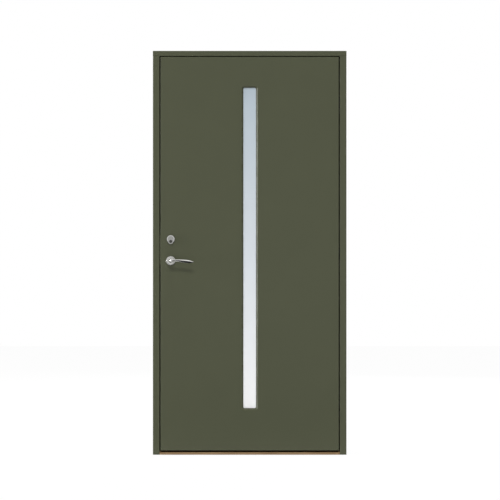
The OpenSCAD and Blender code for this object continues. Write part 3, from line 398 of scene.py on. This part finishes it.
def lever_skin(name, face, outward):
    """The whole lever as one closed skin, standing off the given face."""
    points, faces = [], []
    rings = lever_rings()
    for x, out, turn, rise, half_h, half_t in rings:
        lean = BLADE_LEAN * min(x / LEVER_L / LEAN_RUN, 1.0)
        fullest = 1 + LEAN_TRIM * lean * lean
        for j in range(LEVER_SIDES):
            angle = 2 * math.pi * j / LEVER_SIDES
            across = half_t * math.sin(angle) * (1 + lean * math.cos(angle)) / fullest
            points.append((
                SPINDLE_X + x + across * math.cos(turn),
                face + outward * (out - across * math.sin(turn)),
                SPINDLE_Z + rise + half_h * math.cos(angle),
            ))
    for i in range(len(rings) - 1):
        near, far = i * LEVER_SIDES, (i + 1) * LEVER_SIDES
        for j in range(LEVER_SIDES):
            k = (j + 1) % LEVER_SIDES
            faces.append((near + j, near + k, far + k, far + j))
    faces.append(tuple(range(LEVER_SIDES))[::-1])
    faces.append(tuple((len(rings) - 1) * LEVER_SIDES + j for j in range(LEVER_SIDES)))
    if outward > 0:
        faces = [corners[::-1] for corners in faces]
    mesh = bpy.data.meshes.new(name)
    mesh.from_pydata(points, [], faces)
    piece = bpy.data.objects.new(name, mesh)
    scene.collection.objects.link(piece)
    soften(piece, LEVER_SMOOTH_LIMIT)
    return piece


scene = bpy.context.scene
lever_steel = satin_steel("polished_lever_steel", brush=(60.0, 400.0, 400.0), low=0.1, high=0.16, grey=226)
for lever_name, node_name, face, outward in (
    ("lever_outdoors", "outer_lever", FACE_OUT, -1),
    ("lever_indoors", "inner_lever", FACE_IN, 1),
):
    lever = lever_skin(lever_name, face, outward)
    lever.data.materials.append(lever_steel)
    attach(lever, "handle_set")
    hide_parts(node_name)


# Studio floor and surround: a white floor that keeps the door's shadow, and plain white around it.
# Most of the floor's white is a glow for the camera, mirrors and glass, and the rest is lit.
WHITE = (1.0, 1.0, 1.0, 1.0)
FLOOR_SIZE, FLOOR_DROP, FLOOR_GLOW = 24.0, 0.0005, 0.955
SURROUND_LIGHT = 0.12


def white_to_the_eye(tree, glow_node, lit, glow_share):
    """Mixes a share of plain white into what the camera, mirrors and glass see of a surface."""
    glow = tree.nodes.new(glow_node)
    glow.inputs["Color"].default_value = WHITE
    glow.inputs["Strength"].default_value = 1.0
    rays = tree.nodes.new("ShaderNodeLightPath")
    seen = rays.outputs["Is Camera Ray"]
    for kind in ("Is Glossy Ray", "Is Transmission Ray"):
        either = tree.nodes.new("ShaderNodeMath")
        either.operation = "MAXIMUM"
        tree.links.new(seen, either.inputs[0])
        tree.links.new(rays.outputs[kind], either.inputs[1])
        seen = either.outputs["Value"]
    share = tree.nodes.new("ShaderNodeMath")
    share.operation = "MULTIPLY"
    share.inputs[1].default_value = glow_share
    tree.links.new(seen, share.inputs[0])
    choice = tree.nodes.new("ShaderNodeMixShader")
    tree.links.new(share.outputs["Value"], choice.inputs["Fac"])
    tree.links.new(lit, choice.inputs[1])
    tree.links.new(glow.outputs[0], choice.inputs[2])
    return choice.outputs["Shader"]


bpy.ops.mesh.primitive_plane_add(size=FLOOR_SIZE, location=(0.0, 0.0, -FLOOR_DROP))
floor = bpy.context.object
floor.name = "studio_floor"
floor_white, shader, place = start_finish("studio_floor_white", roughness=0.9)
two_tones(
    floor_white, shader, cloud(floor_white, place, scale=0.6),
    (0.93, 0.93, 0.93, 1.0), (0.95, 0.95, 0.95, 1.0),
)
shader.inputs["Specular IOR Level"].default_value = 0.0
floor_tree = floor_white.node_tree
floor_seen = white_to_the_eye(floor_tree, "ShaderNodeEmission", shader.outputs["BSDF"], FLOOR_GLOW)
floor_tree.links.new(floor_seen, floor_tree.nodes["Material Output"].inputs["Surface"])
floor.data.materials.append(floor_white)

world = bpy.data.worlds.new("studio_surround")
scene.world = world
world.use_nodes = True
world_tree = world.node_tree
surround = world_tree.nodes["Background"]
surround.inputs["Color"].default_value = WHITE
surround.inputs["Strength"].default_value = SURROUND_LIGHT
world_seen = white_to_the_eye(world_tree, "ShaderNodeBackground", surround.outputs["Background"], 1.0)
world_tree.links.new(world_seen, world_tree.nodes["World Output"].inputs["Surface"])


# Lamps: one with parallel light from high in front, which throws the lever's shadow, and soft
# lamps at the left, behind the door and above it. The first and the last make no mirror image.
DOOR_MIDDLE = (0.0, -0.05, 1.03)


def stand_lamp(name, kind, place, energy):
    """A lamp at a place, turned to the middle of the door."""
    lamp = bpy.data.lights.new(name, kind)
    lamp.energy = energy
    holder = bpy.data.objects.new(name, lamp)
    scene.collection.objects.link(holder)
    across, along, up = (middle - start for middle, start in zip(DOOR_MIDDLE, place))
    holder.location = place
    holder.rotation_euler = (math.atan2(math.hypot(across, along), -up), 0.0, math.atan2(-across, along))
    return holder


def soft_lamp(name, place, size, watts):
    """A rectangular lamp with soft light."""
    holder = stand_lamp(name, "AREA", place, watts)
    holder.data.shape = "RECTANGLE"
    holder.data.size, holder.data.size_y = size
    return holder


high_front_lamp = stand_lamp("high_front_lamp", "SUN", place=(-0.2, -4.0, 5.0), energy=1.6)
high_front_lamp.data.angle = math.radians(14)
high_front_lamp.visible_glossy = False
soft_lamp("left_lamp", place=(-8.0, -0.6, 1.6), size=(2.0, 3.5), watts=620)
soft_lamp("room_lamp", place=(1.5, 5.5, 3.2), size=(3.0, 3.0), watts=290)
top_lamp = soft_lamp("top_lamp", place=(-0.5, -0.6, 8.0), size=(3.0, 1.6), watts=300)
top_lamp.visible_glossy = False


# Reflection card: a dark cloth on the floor in front of the door, seen only in reflections.
# It gives the lever and roses their dark undersides.
CARD_PLACE, CARD_SIDE = (-0.2, -1.8, 0.002), 3.0
bpy.ops.mesh.primitive_plane_add(size=1.0, location=CARD_PLACE)
card = bpy.context.object
card.name = "reflection_card"
card.scale = (CARD_SIDE, CARD_SIDE, 1.0)
card_black, shader, place = start_finish("reflection_card_black", roughness=0.9)
card_weave = cloud(card_black, place, scale=4.0)
two_tones(card_black, shader, card_weave, linear((14, 14, 14)), linear((20, 20, 20)))
card.data.materials.append(card_black)
card.visible_camera = False
card.visible_diffuse = False
card.visible_transmission = False
card.visible_shadow = False


# Camera: a long lens straight in front of the door, at half its height.
# Colours are shown as they are lit, with the plain view transform.
CAMERA_X, CAMERA_DISTANCE, CAMERA_HEIGHT = 0.0016, 10.65, 1.0467
camera_data = bpy.data.cameras.new("front_camera")
camera_data.lens = 150.0
camera_data.sensor_width = 36.0
camera = bpy.data.objects.new("front_camera", camera_data)
scene.collection.objects.link(camera)
camera.location = (CAMERA_X, FACE_OUT - CAMERA_DISTANCE, CAMERA_HEIGHT)
camera.rotation_euler = (math.pi / 2, 0.0, 0.0)
scene.camera = camera
scene.view_settings.view_transform = "Standard"
